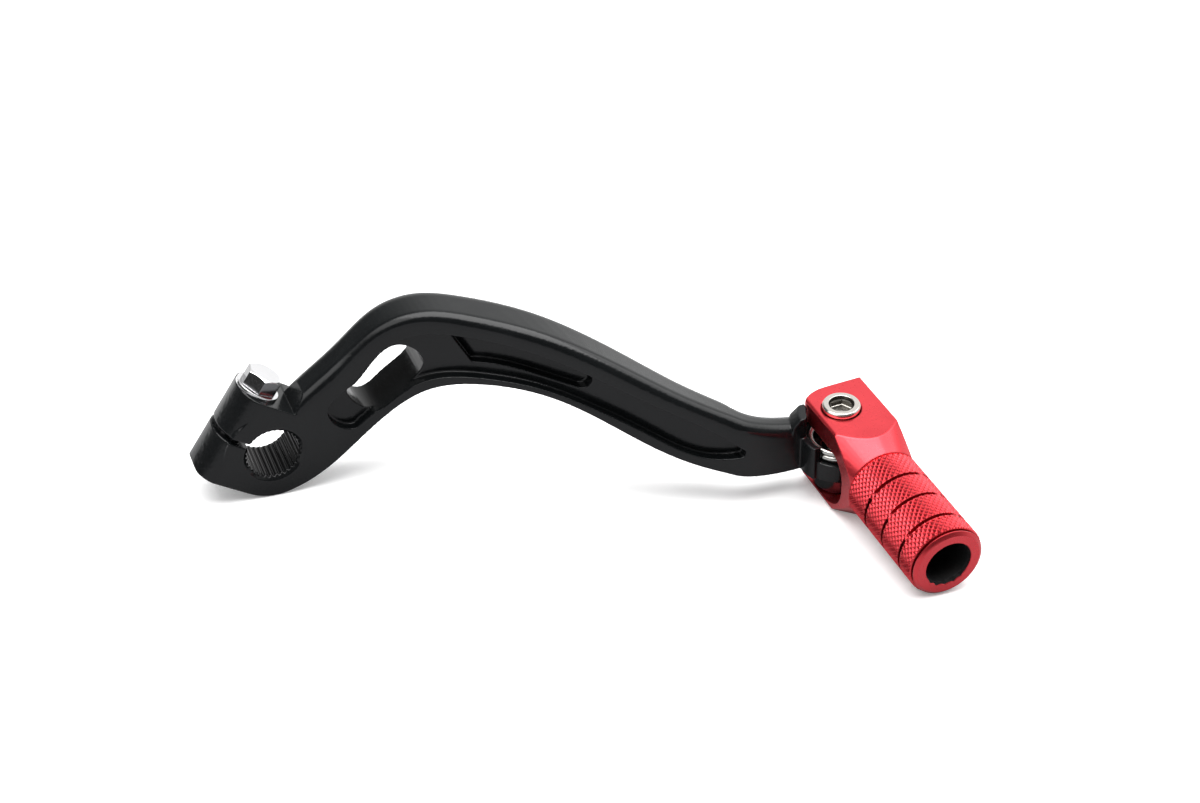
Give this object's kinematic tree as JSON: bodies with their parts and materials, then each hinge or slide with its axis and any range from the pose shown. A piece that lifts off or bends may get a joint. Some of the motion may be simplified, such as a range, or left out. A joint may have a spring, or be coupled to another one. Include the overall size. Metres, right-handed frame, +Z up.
{
  "type": "motorcycle gear shift lever",
  "caption": "Forged motorcycle gear shift lever with a splined pinch-clamp boss, a recessed offset arm and a spring-loaded folding knurled toe tip.",
  "frame": {"origin": "centre of the splined bore, half way along the boss", "axes": "+X from the bore towards the folding tip, +Y along the bore into the engine, +Z up, along the tip's pivot bolt"},
  "size_m": [0.1586, 0.1039, 0.0532],
  "materials": {
    "arm_black_anodise": "gloss black anodised forged aluminium",
    "tip_red_anodise": "red anodised aluminium, knurled grip",
    "zinc_plate": "bright zinc plate",
    "stainless": "turned stainless steel",
    "spring_steel": "bright drawn wire"
  },
  "bodies": {
    "arm": {"lever_arm": "arm_black_anodise", "pinch_bolt": "zinc_plate", "pinch_washer": "zinc_plate"},
    "tip": {"toe_peg": "tip_red_anodise", "pivot_bolt": "stainless", "pivot_bush": "stainless", "return_spring": "spring_steel"}
  },
  "joints": [
    {"name": "tip_fold", "type": "hinge", "parent": "arm", "child": "tip", "pos_m": [0.1285, -0.0489, -0.0094], "axis": [0, 0, -1], "range_deg": [0, 50], "stiffness_Nm_per_rad": 0.25, "deforming": ["return_spring"]}
  ]
}
